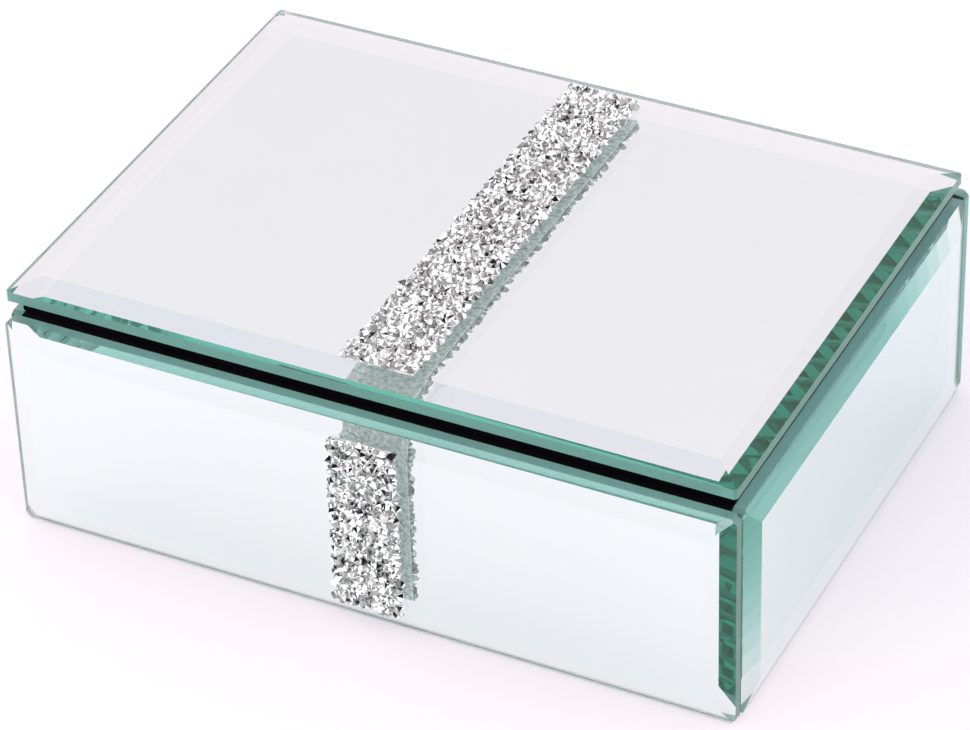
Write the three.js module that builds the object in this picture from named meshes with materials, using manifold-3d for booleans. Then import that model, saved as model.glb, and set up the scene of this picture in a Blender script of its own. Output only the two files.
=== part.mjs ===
// Vanity trinket box: a black fibreboard box clad in bevelled mirror plates, with a hinged
// mirror lid and a strip of crystals across the lid and down the front.
// Millimetres. X runs along the long front side, Y runs to the back, Z is up.
// The origin is on the table, under the middle of the box.

import * as THREE from 'three';
import { mergeVertices } from 'three/addons/utils/BufferGeometryUtils.js';
import Module from 'manifold-3d';

const wasm = await Module();
wasm.setup();

// ---------------------------------------------------------------- driving dimensions

const bodyWidth = 203.2;          // between the outer arrises of the two side plates
const bodyDepth = 153;            // between the outer arrises of the front and back plates
const plateHeight = 64;           // height of the four upright plates
const plateLift = 0.5;            // the felt holds the glass this far off the table

const glassThickness = 5;
const bevelWidth = 7.4;
const bevelDrop = 2;
const glassEdge = glassThickness - bevelDrop;    // ground edge left below the bevel
const dubbedCorner = 1.5;         // small clip on the corners of the upright plates
const lidDubbedCorner = 0.8;

const lidWidth = 202.6;
const lidDepth = 148;
const lidGap = 4.2;               // from the top of the upright plates to the lid glass
const lidBoardInset = 2.5;
const lidGlassLeft = 0.7;         // the lid glass is glued this far left of the middle
const lidGlassForward = 0.4;

const glueLine = 0.2;
const cornerGap = 0.3;            // between the edges of two neighbouring plates
const restGap = 0.3;              // between the closed lid board and the box rim

const feltThickness = 1;
const coreThickness = 6;
const baseThickness = 4;
const liningThickness = 1;
const floorPadThickness = 4;
const lidPadThickness = 2;
const padClearance = 0.5;
const lidPadClearance = 3;

const lidStripWidth = 20;
const lidStripCentre = 1.5;       // the strips sit just right of the middle
const lidStripLength = 134;
const lidStripForward = 1;        // of the middle of the lid
const frontStripWidth = 19;
const frontStripCentre = 2;
const frontStripLength = 52;
const tapeThickness = 0.4;
const crystalBase = 0.8;          // solid part of the crystal bed, under the points
const crystalPoint = 1;
const crystalPitch = 5;
const tapeMargin = 0.5;           // the crystals overhang their tape by this much

const hingeOffset = 62;           // of each hinge from the middle of the box
const leafLength = 20;
const leafThickness = 0.7;
const leafGap = 0.15;             // between the folded leaves
const barrelRadius = 1.4;
const barrelClearance = 0.3;      // between the barrel and the back plate
const pinRadius = 0.6;
const pinClearance = 0.05;
const pinHeadRadius = 1;
const pinHeadLength = 0.5;
const knuckleGap = 0.2;
const leafInnerEdge = 0.6;        // of each leaf from the inner face of the back wall
const mortiseClearance = 0.3;

const screwSpread = 6;            // of each screw from the middle of its hinge
const screwRadius = 0.8;
const screwHeadRadius = 1.5;
const screwClearance = 0.2;
const boxScrewLength = 6;
const lidScrewLength = 2;

// ---------------------------------------------------------------- levels and planes

const frontPlane = bodyDepth / 2;                       // outer arris of front and back plates
const sidePlane = bodyWidth / 2;                        // outer arris of the side plates
const rimTop = plateLift + plateHeight;
const coreFront = frontPlane - glassEdge - glueLine;    // outer face of the front core wall
const coreSide = sidePlane - glassEdge - glueLine;
const coreBottom = feltThickness + glueLine;
const liningFront = coreFront - coreThickness - glueLine;
const liningSide = coreSide - coreThickness - glueLine;
const innerFront = liningFront - liningThickness;       // half sizes of the compartment
const innerSide = liningSide - liningThickness;
const baseTop = coreBottom + baseThickness;
const lidGlassBottom = rimTop + lidGap;
const lidTop = lidGlassBottom + glassThickness;
const boardBottom = rimTop + restGap;
const boardTop = lidGlassBottom - glueLine;
const boardHalfWidth = lidWidth / 2 - lidBoardInset;
const boardHalfDepth = lidDepth / 2 - lidBoardInset;

const barrelY = frontPlane + bevelDrop + barrelClearance + barrelRadius;
const boxLeafBottom = rimTop + glueLine / 2;
const boxLeafTop = boxLeafBottom + leafThickness;
const lidLeafBottom = boxLeafTop + leafGap;
const lidLeafTop = lidLeafBottom + leafThickness;
const barrelZ = (boxLeafTop + lidLeafBottom) / 2;
const leafInnerY = coreFront - coreThickness + leafInnerEdge;
const screwY = leafInnerY + screwHeadRadius + screwClearance * 2;
const mortiseTop = lidLeafTop + glueLine;

// ---------------------------------------------------------------- finishes

const finishes = {
  mirror: { color: 0xe8ebf0, roughness: 0.05, metalness: 0.9 },
  fibreboard: { color: 0x1a1a1c, roughness: 0.9, metalness: 0 },
  felt: { color: 0x161618, roughness: 1, metalness: 0 },
  velvet: { color: 0x0c0c0e, roughness: 1, metalness: 0 },
  tape: { color: 0xd9dadc, roughness: 0.5, metalness: 0 },
  crystal: { color: 0xd6d7da, roughness: 0.15, metalness: 0.4 },
  steel: { color: 0xb9bcc0, roughness: 0.3, metalness: 1 },
};

const object = new THREE.Group();

function addPiece(parent, name, geometry, finish) {
  const mesh = new THREE.Mesh(geometry, new THREE.MeshStandardMaterial(finishes[finish]));
  mesh.name = name;
  parent.add(mesh);
  return mesh;
}

// ---------------------------------------------------------------- solids

function toManifold(geometry) {
  const bare = geometry.clone();
  bare.deleteAttribute('normal');
  bare.deleteAttribute('uv');
  const welded = mergeVertices(bare, 1e-4);
  return new wasm.Manifold(new wasm.Mesh({
    numProp: 3,
    vertProperties: new Float32Array(welded.attributes.position.array),
    triVerts: new Uint32Array(welded.index.array),
  }));
}

function fromManifold(manifold) {
  const cut = manifold.getMesh();
  const indexed = new THREE.BufferGeometry();
  indexed.setAttribute('position', new THREE.BufferAttribute(new Float32Array(cut.vertProperties), 3));
  indexed.setIndex(new THREE.BufferAttribute(new Uint32Array(cut.triVerts), 1));
  const geometry = indexed.toNonIndexed();
  geometry.computeVertexNormals();
  return geometry;
}

function block([x0, x1], [y0, y1], [z0, z1]) {
  const geometry = new THREE.BoxGeometry(x1 - x0, y1 - y0, z1 - z0);
  return geometry.translate((x0 + x1) / 2, (y0 + y1) / 2, (z0 + z1) / 2);
}

function rod(radius, [x0, x1], y, z) {
  const geometry = new THREE.CylinderGeometry(radius, radius, x1 - x0, 24);
  return geometry.rotateZ(Math.PI / 2).translate((x0 + x1) / 2, y, z);
}

// A mirror plate lying face up, its back on z = 0. The face is smaller than the plate by the
// bevel on every side, and the plate's four corners are dubbed.
function mirrorPlate(width, height, clip) {
  const rings = [[0, 0], [0, glassEdge], [bevelWidth, glassThickness]].map(([inset, z]) => {
    const x = width / 2 - inset;
    const y = height / 2 - inset;
    return [[-x, -y, z], [x, -y, z], [x, y, z], [-x, y, z]];
  });
  const positions = rings.flat(2);
  const index = [0, 2, 1, 0, 3, 2, 8, 9, 10, 8, 10, 11];
  for (let ring = 0; ring < rings.length - 1; ring += 1) {
    for (let corner = 0; corner < 4; corner += 1) {
      const a = ring * 4 + corner;
      const b = ring * 4 + (corner + 1) % 4;
      index.push(a, b, b + 4, a, b + 4, a + 4);
    }
  }
  const bevelled = new THREE.BufferGeometry();
  bevelled.setAttribute('position', new THREE.Float32BufferAttribute(positions, 3));
  bevelled.setAttribute('normal', new THREE.Float32BufferAttribute(positions, 3));
  bevelled.setAttribute('uv', new THREE.Float32BufferAttribute(new Array(24).fill(0), 2));
  bevelled.setIndex(index);

  const corners = [[-1, -1], [1, -1], [1, 1], [-1, 1]].flatMap(([sx, sy]) => {
    const along = new THREE.Vector2(sx * (width / 2 - clip), sy * height / 2);
    const across = new THREE.Vector2(sx * width / 2, sy * (height / 2 - clip));
    return sx === sy ? [across, along] : [along, across];
  });
  const outline = new THREE.Shape(corners);
  const trimmer = new THREE.ExtrudeGeometry(outline, { depth: glassThickness * 2, bevelEnabled: false });
  trimmer.translate(0, 0, -glassThickness / 2);
  return fromManifold(toManifold(bevelled).intersect(toManifold(trimmer)));
}

// A slab of crystals lying face up, its back on z = 0, with a point on every cell.
function crystalBed(width, length) {
  const across = Math.round(width / crystalPitch);
  const along = Math.round(length / crystalPitch);
  const slab = new THREE.BoxGeometry(width, length, crystalBase, across * 2, along * 2, 1);
  slab.translate(0, 0, crystalBase / 2);
  const position = slab.attributes.position;
  for (let i = 0; i < position.count; i += 1) {
    const column = Math.round((position.getX(i) / width + 0.5) * across * 2);
    const row = Math.round((position.getY(i) / length + 0.5) * along * 2);
    const onTop = position.getZ(i) > crystalBase / 2;
    if (onTop && column % 2 === 1 && row % 2 === 1) {
      const variation = Math.abs(Math.sin(column * 12.9 + row * 78.2));
      position.setZ(i, crystalBase + crystalPoint * (0.6 + 0.4 * variation));
    }
  }
  return slab;
}

// ---------------------------------------------------------------- base

addPiece(object, 'base_felt', block(
  [-coreSide, coreSide], [-coreFront, coreFront], [0, feltThickness],
), 'felt');

const baseHalfWidth = liningSide;
const baseHalfDepth = liningFront;
addPiece(object, 'base_board', block(
  [-baseHalfWidth, baseHalfWidth], [-baseHalfDepth, baseHalfDepth], [coreBottom, baseTop],
), 'fibreboard');

// ---------------------------------------------------------------- four sides

// Each side is a group facing -Y before it is turned: a mirror plate, the core wall behind it,
// and the velvet-covered lining inside. The front and back run the full width, and the two ends
// are cut to fit between them.
function addSide(name, turn, plane, plateLength, wallLength, liningLength) {
  const side = new THREE.Group();
  side.rotation.z = turn;
  object.add(side);

  const glass = mirrorPlate(plateLength, plateHeight, dubbedCorner);
  const plate = addPiece(side, `${name}_mirror`, glass, 'mirror');
  plate.rotation.x = Math.PI / 2;
  plate.position.set(0, -(plane - glassEdge), plateLift + plateHeight / 2);

  const wallFace = plane - glassEdge - glueLine;
  let wall = toManifold(block(
    [-wallLength / 2, wallLength / 2],
    [-wallFace, coreThickness - wallFace],
    [coreBottom, rimTop],
  ));
  if (name === 'back') {
    for (const x of screwPositions()) {
      wall = wall.subtract(toManifold(pilotHole(-x, -screwY, rimTop, boxScrewLength, -1)));
    }
  }
  addPiece(side, `${name}_core_wall`, fromManifold(wall), 'fibreboard');

  const liningFace = wallFace - coreThickness - glueLine;
  addPiece(side, `${name}_lining`, block(
    [-liningLength / 2, liningLength / 2],
    [-liningFace, liningThickness - liningFace],
    [baseTop + glueLine, rimTop - glueLine],
  ), 'velvet');
}

// A clearance hole for a screw's shank, running from a surface at level z into the board.
function pilotHole(x, y, z, length, direction) {
  const radius = screwRadius + screwClearance;
  const depth = length + screwClearance;
  const hole = new THREE.CylinderGeometry(radius, radius, depth + glueLine, 16);
  return hole.rotateX(Math.PI / 2).translate(x, y, z + direction * (depth - glueLine) / 2);
}

function screwPositions() {
  return [-1, 1].flatMap((side) => [-1, 1].map((end) => side * hingeOffset + end * screwSpread));
}

const endPlateLength = bodyDepth - 2 * (glassEdge + cornerGap);
const endWallLength = 2 * (coreFront - coreThickness - glueLine);
const endLiningLength = 2 * (liningFront - liningThickness - glueLine);

addSide('front', 0, frontPlane, bodyWidth, 2 * coreSide, 2 * liningSide);
addSide('right', Math.PI / 2, sidePlane, endPlateLength, endWallLength, endLiningLength);
addSide('back', Math.PI, frontPlane, bodyWidth, 2 * coreSide, 2 * liningSide);
addSide('left', -Math.PI / 2, sidePlane, endPlateLength, endWallLength, endLiningLength);

const padHalfWidth = innerSide - padClearance;
const padHalfDepth = innerFront - padClearance;
addPiece(object, 'floor_pad', block(
  [-padHalfWidth, padHalfWidth],
  [-padHalfDepth, padHalfDepth],
  [baseTop + glueLine, baseTop + glueLine + floorPadThickness],
), 'velvet');

// ---------------------------------------------------------------- lid

const lidGlass = mirrorPlate(lidWidth, lidDepth, lidDubbedCorner);
const lidMirror = addPiece(object, 'lid_mirror', lidGlass, 'mirror');
lidMirror.position.set(-lidGlassLeft, -lidGlassForward, lidGlassBottom);

// The board under the lid glass is relieved over each hinge, and drilled for the screws.
let board = toManifold(block(
  [-boardHalfWidth, boardHalfWidth], [-boardHalfDepth, boardHalfDepth], [boardBottom, boardTop],
));
for (const side of [-1, 1]) {
  const reach = leafLength / 2 + mortiseClearance;
  board = board.subtract(toManifold(block(
    [side * hingeOffset - reach, side * hingeOffset + reach],
    [leafInnerY - mortiseClearance, boardHalfDepth + 1],
    [boardBottom - 1, mortiseTop],
  )));
}
for (const x of screwPositions()) {
  board = board.subtract(toManifold(pilotHole(x, screwY, mortiseTop, lidScrewLength - glueLine, 1)));
}
addPiece(object, 'lid_board', fromManifold(board), 'velvet');

const lidPadHalfWidth = innerSide - lidPadClearance;
const lidPadHalfDepth = innerFront - lidPadClearance;
addPiece(object, 'lid_pad', block(
  [-lidPadHalfWidth, lidPadHalfWidth],
  [-lidPadHalfDepth, lidPadHalfDepth],
  [boardBottom - glueLine - lidPadThickness, boardBottom - glueLine],
), 'velvet');

// ---------------------------------------------------------------- crystal strips

// A strip lies face up on z = 0: a self-adhesive tape with the crystal bed on it.
function addStrip(name, width, length) {
  const strip = new THREE.Group();
  object.add(strip);
  const tapeHalfWidth = width / 2 - tapeMargin;
  const tapeHalfLength = length / 2 - tapeMargin;
  addPiece(strip, `${name}_crystal_tape`, block(
    [-tapeHalfWidth, tapeHalfWidth],
    [-tapeHalfLength, tapeHalfLength],
    [glueLine, glueLine + tapeThickness],
  ), 'tape');
  const bed = addPiece(strip, `${name}_crystals`, crystalBed(width, length), 'crystal');
  bed.position.z = glueLine + tapeThickness + glueLine;
  return strip;
}

const lidStrip = addStrip('lid', lidStripWidth, lidStripLength);
lidStrip.position.set(lidStripCentre, -lidStripForward, lidTop);

const frontStrip = addStrip('front', frontStripWidth, frontStripLength);
frontStrip.rotation.x = Math.PI / 2;
frontStrip.position.set(frontStripCentre, -(frontPlane + bevelDrop), plateLift + plateHeight / 2);

// ---------------------------------------------------------------- hinges

// The barrel has three equal knuckles: the outer two belong to the box leaf, the middle one to
// the lid leaf. Each leaf is notched where the other leaf's knuckles turn.
const knuckleEnds = [-1 / 2, -1 / 6, 1 / 6, 1 / 2].map((share) => share * leafLength);
const outerKnuckles = [
  [knuckleEnds[0], knuckleEnds[1] - knuckleGap / 2],
  [knuckleEnds[2] + knuckleGap / 2, knuckleEnds[3]],
];
const middleKnuckle = [knuckleEnds[1] + knuckleGap / 2, knuckleEnds[2] - knuckleGap / 2];

function hingeLeaf([z0, z1], knuckles, notches, headLevel, direction) {
  const notchY = barrelY - barrelRadius - barrelClearance / 2;
  let leaf = toManifold(block([-leafLength / 2, leafLength / 2], [leafInnerY, barrelY], [z0, z1]));
  for (const [x0, x1] of notches) {
    const cut = block([x0 - knuckleGap, x1 + knuckleGap], [notchY, barrelY + 1], [z0 - 1, z1 + 1]);
    leaf = leaf.subtract(toManifold(cut));
  }
  for (const knuckle of knuckles) {
    leaf = leaf.add(toManifold(rod(barrelRadius, knuckle, barrelY, barrelZ)));
  }
  const boreEnds = [-leafLength / 2 - 1, leafLength / 2 + 1];
  leaf = leaf.subtract(toManifold(rod(pinRadius + pinClearance, boreEnds, barrelY, barrelZ)));
  for (const x of [-screwSpread, screwSpread]) {
    leaf = leaf.subtract(toManifold(countersink(x, headLevel, direction)));
  }
  return fromManifold(leaf);
}

// A screw's outline is turned about its axis: head, cone, shank and a blunt tip. The same
// outline, widened all round, cuts the countersunk hole in the leaf.
function screwBody(length, margin) {
  const profile = [
    [0, margin],
    [screwHeadRadius + margin, margin],
    [screwRadius + margin, -leafThickness],
    [screwRadius + margin, -length + screwRadius / 2],
    [screwRadius / 2, -length],
    [0, -length],
  ].map(([radius, height]) => new THREE.Vector2(radius, height)).reverse();
  return new THREE.LatheGeometry(profile, 16).rotateX(Math.PI / 2);
}

function countersink(x, headLevel, direction) {
  const cutter = screwBody(leafThickness * 4, screwClearance);
  if (direction > 0) {
    cutter.rotateX(Math.PI);
  }
  return cutter.translate(x, screwY, headLevel);
}

function addScrew(name, x, headLevel, length, direction) {
  const screw = addPiece(object, name, screwBody(leafThickness + length, 0), 'steel');
  screw.rotation.x = direction > 0 ? Math.PI : 0;
  screw.position.set(x, screwY, headLevel);
}

for (const [sideName, side] of [['left', -1], ['right', 1]]) {
  const middle = side * hingeOffset;
  const boxLeaf = hingeLeaf(
    [boxLeafBottom, boxLeafTop], outerKnuckles, [middleKnuckle], boxLeafTop, -1,
  );
  const lidLeaf = hingeLeaf(
    [lidLeafBottom, lidLeafTop], [middleKnuckle], outerKnuckles, lidLeafBottom, 1,
  );
  addPiece(object, `${sideName}_hinge_box_leaf`, boxLeaf, 'steel').position.x = middle;
  addPiece(object, `${sideName}_hinge_lid_leaf`, lidLeaf, 'steel').position.x = middle;

  const headStart = leafLength / 2 + knuckleGap;
  const pinProfile = [
    [0, -headStart - pinHeadLength],
    [pinHeadRadius, -headStart - pinHeadLength],
    [pinHeadRadius, -headStart],
    [pinRadius, -headStart],
    [pinRadius, headStart],
    [pinHeadRadius, headStart],
    [pinHeadRadius, headStart + pinHeadLength],
    [0, headStart + pinHeadLength],
  ].map(([radius, height]) => new THREE.Vector2(radius, height));
  const pin = addPiece(
    object, `${sideName}_hinge_pin`, new THREE.LatheGeometry(pinProfile, 24), 'steel',
  );
  pin.rotation.z = Math.PI / 2;
  pin.position.set(middle, barrelY, barrelZ);

  for (const [endName, end] of [['outer', 1], ['inner', -1]]) {
    const x = middle + side * end * screwSpread;
    addScrew(`${sideName}_${endName}_box_screw`, x, boxLeafTop, boxScrewLength, -1);
    addScrew(`${sideName}_${endName}_lid_screw`, x, lidLeafBottom, lidScrewLength, 1);
  }
}

export default object;
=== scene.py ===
import math

import bmesh
import bpy
from mathutils import Matrix, Vector, noise


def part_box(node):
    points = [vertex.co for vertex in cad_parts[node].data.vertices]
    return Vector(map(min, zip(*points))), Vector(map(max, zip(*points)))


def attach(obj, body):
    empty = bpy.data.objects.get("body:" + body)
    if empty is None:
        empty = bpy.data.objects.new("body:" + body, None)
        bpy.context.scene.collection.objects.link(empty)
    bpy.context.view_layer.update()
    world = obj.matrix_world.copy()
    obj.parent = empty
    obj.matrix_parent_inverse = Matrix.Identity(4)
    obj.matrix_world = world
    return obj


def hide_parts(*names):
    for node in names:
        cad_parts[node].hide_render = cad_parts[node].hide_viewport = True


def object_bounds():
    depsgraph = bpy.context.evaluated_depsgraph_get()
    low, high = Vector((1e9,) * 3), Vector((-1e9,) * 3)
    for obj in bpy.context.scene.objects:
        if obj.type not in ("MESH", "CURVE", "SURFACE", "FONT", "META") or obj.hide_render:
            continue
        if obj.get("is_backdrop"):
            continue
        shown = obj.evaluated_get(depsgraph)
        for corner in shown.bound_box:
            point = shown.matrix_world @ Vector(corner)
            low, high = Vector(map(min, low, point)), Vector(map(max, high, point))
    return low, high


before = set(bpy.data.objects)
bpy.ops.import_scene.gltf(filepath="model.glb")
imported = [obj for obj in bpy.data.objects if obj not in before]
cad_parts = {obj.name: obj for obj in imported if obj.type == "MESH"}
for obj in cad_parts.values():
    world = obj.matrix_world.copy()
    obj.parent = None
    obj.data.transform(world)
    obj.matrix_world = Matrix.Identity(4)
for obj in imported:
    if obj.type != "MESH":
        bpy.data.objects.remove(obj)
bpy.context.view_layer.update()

scene = bpy.context.scene
MM = 0.001


# Camera. A long lens well back from the table, round to the right of the front and looking down,
# so both the crystal front and the right-hand end show. It is tipped a little to one side.
VIEW_AZIMUTH = math.radians(27.0)
VIEW_ELEVATION = math.radians(36.27)
VIEW_ROLL = math.radians(-1.81)
VIEW_DISTANCE = 1162.2 * MM
VIEW_TARGET = Vector((0.7, 0.2, 30.5)) * MM
LENS_LENGTH, SENSOR_WIDTH = 163.8, 36        # in millimetres, as the camera takes them
LENS_SHIFT = (-0.0158, -0.0053)

camera_data = bpy.data.cameras.new("camera")
camera_data.sensor_width = SENSOR_WIDTH
camera_data.lens = LENS_LENGTH
camera_data.shift_x, camera_data.shift_y = LENS_SHIFT
camera = bpy.data.objects.new("camera", camera_data)
scene.collection.objects.link(camera)
scene.camera = camera

towards_camera = Vector((
    math.sin(VIEW_AZIMUTH) * math.cos(VIEW_ELEVATION),
    -math.cos(VIEW_AZIMUTH) * math.cos(VIEW_ELEVATION),
    math.sin(VIEW_ELEVATION),
))
upright = towards_camera.to_track_quat("Z", "Y").to_matrix().to_4x4()
camera.matrix_world = (
    Matrix.Translation(VIEW_TARGET + towards_camera * VIEW_DISTANCE)
    @ upright
    @ Matrix.Rotation(VIEW_ROLL, 4, "Z")
)


# Mirror plates. Clear float glass with a wide polished bevel, silvered behind. The four edges and
# the dubbed corners are ground, so they scatter light and show the green of the glass. Each plate
# is one solid, cut from a block of glass plane by plane as a glazier would grind it.
BEVEL_WIDTH = 7.4 * MM
BEVEL_DROP = 2.0 * MM
DUBBED_CORNER = 1.5 * MM
LID_DUBBED_CORNER = 0.8 * MM
SEAMED_ARRIS = 0.15 * MM
GLASS, SILVER = 0, 1


def linear(hex_colour):
    """An sRGB hex colour as the linear values that a shader takes, with full alpha."""
    channels = [int(hex_colour[i:i + 2], 16) / 255 for i in (1, 3, 5)]
    return [c / 12.92 if c <= 0.04045 else ((c + 0.055) / 1.055) ** 2.4 for c in channels] + [1]


def add_node(tree, kind, links=None, **settings):
    """Adds a node. A setting is one of its attributes, or else the default of an input."""
    made = tree.nodes.new(kind)
    attributes = [name for name in settings if hasattr(made, name)]
    for name in attributes:
        setattr(made, name, settings[name])
    for name, value in settings.items():
        if name not in attributes:
            made.inputs[name.replace("_", " ")].default_value = value
    for name, source in (links or {}).items():
        tree.links.new(source, made.inputs[name])
    return made


def new_material(name):
    """A new material, its tree and its surface shader."""
    material = bpy.data.materials.new(name)
    material.use_nodes = True
    return material, material.node_tree, material.node_tree.nodes["Principled BSDF"]


def set_inputs(shader, **values):
    """Sets the constants of a surface shader."""
    for name, value in values.items():
        shader.inputs[name.replace("_", " ")].default_value = value


# Soda-lime float glass: nearly colourless across its thickness, green along it. It is polished on
# the face and bevel. Where the attribute says that the wheel left it ground, it is satin and a
# little milky, and glows pale green with the light that travels inside the plate.
glass, tree, shader = new_material("float_glass")
set_inputs(shader, IOR=1.52)
green_loss = add_node(
    tree, "ShaderNodeVolumeAbsorption", Color=(0.24, 0.985, 0.89, 1.0), Density=10.0,
)
tree.links.new(green_loss.outputs["Volume"], tree.nodes["Material Output"].inputs["Volume"])
is_ground = add_node(tree, "ShaderNodeAttribute", attribute_name="ground").outputs["Fac"]
place = add_node(tree, "ShaderNodeTexCoord").outputs["Object"]
grit = add_node(tree, "ShaderNodeTexNoise", {"Vector": place}, Scale=450.0, Detail=1.0)
satin = add_node(
    tree, "ShaderNodeMapRange", {"Value": grit.outputs["Fac"]}, To_Min=0.29, To_Max=0.36,
)
roughness = add_node(
    tree, "ShaderNodeMath", {0: is_ground, 1: satin.outputs["Result"]}, operation="MULTIPLY",
)
tree.links.new(roughness.outputs["Value"], shader.inputs["Roughness"])
clear = add_node(tree, "ShaderNodeMapRange", {"Value": is_ground}, To_Min=1.0, To_Max=0.92)
tree.links.new(clear.outputs["Result"], shader.inputs["Transmission Weight"])
milk = add_node(tree, "ShaderNodeMix", {"Factor": is_ground}, data_type="RGBA")
milk.inputs["A"].default_value = linear("#FFFFFF")
milk.inputs["B"].default_value = linear("#CCDAD9")
tree.links.new(milk.outputs["Result"], shader.inputs["Base Color"])

# Chemically deposited silver under the glass: a mirror that keeps nine tenths of the light, and
# dulls the light that is trapped in the plate a little at each meeting.
silver, tree, shader = new_material("deposited_silver")
set_inputs(shader, Metallic=1.0, Roughness=0.0)
place = add_node(tree, "ShaderNodeTexCoord").outputs["Object"]
clouds = add_node(tree, "ShaderNodeTexNoise", {"Vector": place}, Scale=30.0)
tint = add_node(tree, "ShaderNodeMix", {"Factor": clouds.outputs["Fac"]}, data_type="RGBA")
tint.inputs["A"].default_value = linear("#F4F7F5")
tint.inputs["B"].default_value = linear("#F2F6F5")
tree.links.new(tint.outputs["Result"], shader.inputs["Base Color"])


def finish_mesh(name, solid):
    """Turns a bmesh into an object in the scene, with its normals facing out."""
    bmesh.ops.recalc_face_normals(solid, faces=solid.faces)
    mesh = bpy.data.meshes.new(name)
    solid.to_mesh(mesh)
    solid.free()
    piece = bpy.data.objects.new(name, mesh)
    scene.collection.objects.link(piece)
    return piece


def grind(solid, point, normal, left_ground):
    """Takes off the glass beyond a plane, and says whether the new face is left ground."""
    bmesh.ops.bisect_plane(
        solid, geom=solid.verts[:] + solid.edges[:] + solid.faces[:], dist=1e-7,
        plane_co=point, plane_no=normal, clear_outer=True,
    )
    rim = [edge for edge in solid.edges if edge.is_boundary]
    if rim:
        for face in bmesh.ops.edgeloop_fill(solid, edges=rim)["faces"]:
            face.material_index = GLASS
            face[solid.faces.layers.float["ground"]] = left_ground


def mirror_plate(name, width, height, thickness, clip, placed, body, *nodes):
    """A bevelled plate, modelled face up on z = 0 and then placed."""
    solid = bmesh.new()
    bmesh.ops.create_cube(solid, size=1.0, matrix=Matrix.Diagonal((width, height, thickness, 1.0)))
    bmesh.ops.translate(solid, verts=solid.verts, vec=(0, 0, thickness / 2))
    is_ground = solid.faces.layers.float.new("ground")
    for face in solid.faces:
        face[is_ground] = 1.0 if abs(face.normal.z) < 0.5 else 0.0
        face.material_index = SILVER if face.normal.z < -0.5 else GLASS

    edge_height = thickness - BEVEL_DROP
    sides = [(Vector((sx, sy, 0)), (width if sx else height) / 2)
             for sx, sy in ((1, 0), (-1, 0), (0, 1), (0, -1))]
    for outward, reach in sides:
        arris = outward * reach + Vector((0, 0, edge_height))
        slope = outward * BEVEL_DROP + Vector((0, 0, BEVEL_WIDTH))
        grind(solid, arris, slope, 0.0)
    for sx, sy in ((1, 1), (1, -1), (-1, 1), (-1, -1)):
        clipped = Vector((sx * (width / 2 - clip), sy * height / 2, 0))
        outward = Vector((sx, sy, 0))
        grind(solid, clipped, outward, 1.0)
        sides.append((outward.normalized(), clipped.dot(outward.normalized())))
    for outward, reach in sides:
        grind(solid, outward * (reach - SEAMED_ARRIS), outward - Vector((0, 0, 1)), 1.0)

    bmesh.ops.transform(solid, matrix=placed, verts=solid.verts)
    plate = finish_mesh(name, solid)
    for material in (glass, silver):
        plate.data.materials.append(material)
    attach(plate, body)
    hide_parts(*nodes)


# Backing paint. The slate grey coat rolled over the silver to keep damp out, which looks matt and
# faintly stippled. It stops just short of the edges of the glass, in a slightly wavy line.
PAINT_THICKNESS = 0.06 * MM
PAINT_DEPTH = 0.02 * MM          # of the paint behind the mirrored face
PAINT_INSET = 0.3 * MM
PAINT_WAVER = 0.12 * MM
PAINT_STEP = 3 * MM
WAVER_SCALE = 900                # turns of the line per metre
WAVER_SEED = 11
noise.seed_set(WAVER_SEED)

painted, tree, shader = new_material("rolled_backing_paint")
set_inputs(shader, Roughness=0.55)
place = add_node(tree, "ShaderNodeTexCoord").outputs["Object"]
stipple = add_node(tree, "ShaderNodeTexNoise", {"Vector": place}, Scale=1400.0, Detail=2.0)
shade = add_node(tree, "ShaderNodeMix", {"Factor": stipple.outputs["Fac"]}, data_type="RGBA")
shade.inputs["A"].default_value = linear("#4A4F54")
shade.inputs["B"].default_value = linear("#5D6268")
tree.links.new(shade.outputs["Result"], shader.inputs["Base Color"])
relief = add_node(
    tree, "ShaderNodeBump", {"Height": stipple.outputs["Fac"]}, Strength=0.4, Distance=0.00005,
)
tree.links.new(relief.outputs["Normal"], shader.inputs["Normal"])


def backing_paint(name, width, height, placed, body):
    """A film of paint behind a plate, modelled on the plate's own origin and then placed."""
    half_width, half_height = width / 2 - PAINT_INSET, height / 2 - PAINT_INSET
    corners = [Vector((sx * half_width, sy * half_height, 0))
               for sx, sy in ((-1, -1), (1, -1), (1, 1), (-1, 1))]
    outline = []
    for start, end in zip(corners, corners[1:] + corners[:1]):
        steps = round((end - start).length / PAINT_STEP)
        for step in range(steps):
            point = start.lerp(end, step / steps)
            wander = noise.noise_vector(point * WAVER_SCALE) * PAINT_WAVER
            outline.append(point + Vector((wander.x, wander.y, -PAINT_DEPTH)))
    solid = bmesh.new()
    film = solid.faces.new([solid.verts.new(point) for point in outline])
    lower = bmesh.ops.extrude_face_region(solid, geom=[film])["geom"]
    lower_verts = [part for part in lower if isinstance(part, bmesh.types.BMVert)]
    bmesh.ops.translate(solid, verts=lower_verts, vec=(0, 0, -PAINT_THICKNESS))
    bmesh.ops.transform(solid, matrix=placed, verts=solid.verts)
    film = finish_mesh(name, solid)
    film.data.materials.append(painted)
    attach(film, body)


front_low, front_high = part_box("front_mirror")
right_low, right_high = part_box("right_mirror")
lid_low, lid_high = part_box("lid_mirror")
GLASS_THICKNESS = lid_high[2] - lid_low[2]
plate_middle = (front_low[2] + front_high[2]) / 2
plate_height = front_high[2] - front_low[2]
front_back_face = front_low[1] + GLASS_THICKNESS
right_back_face = right_high[0] - GLASS_THICKNESS

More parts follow.
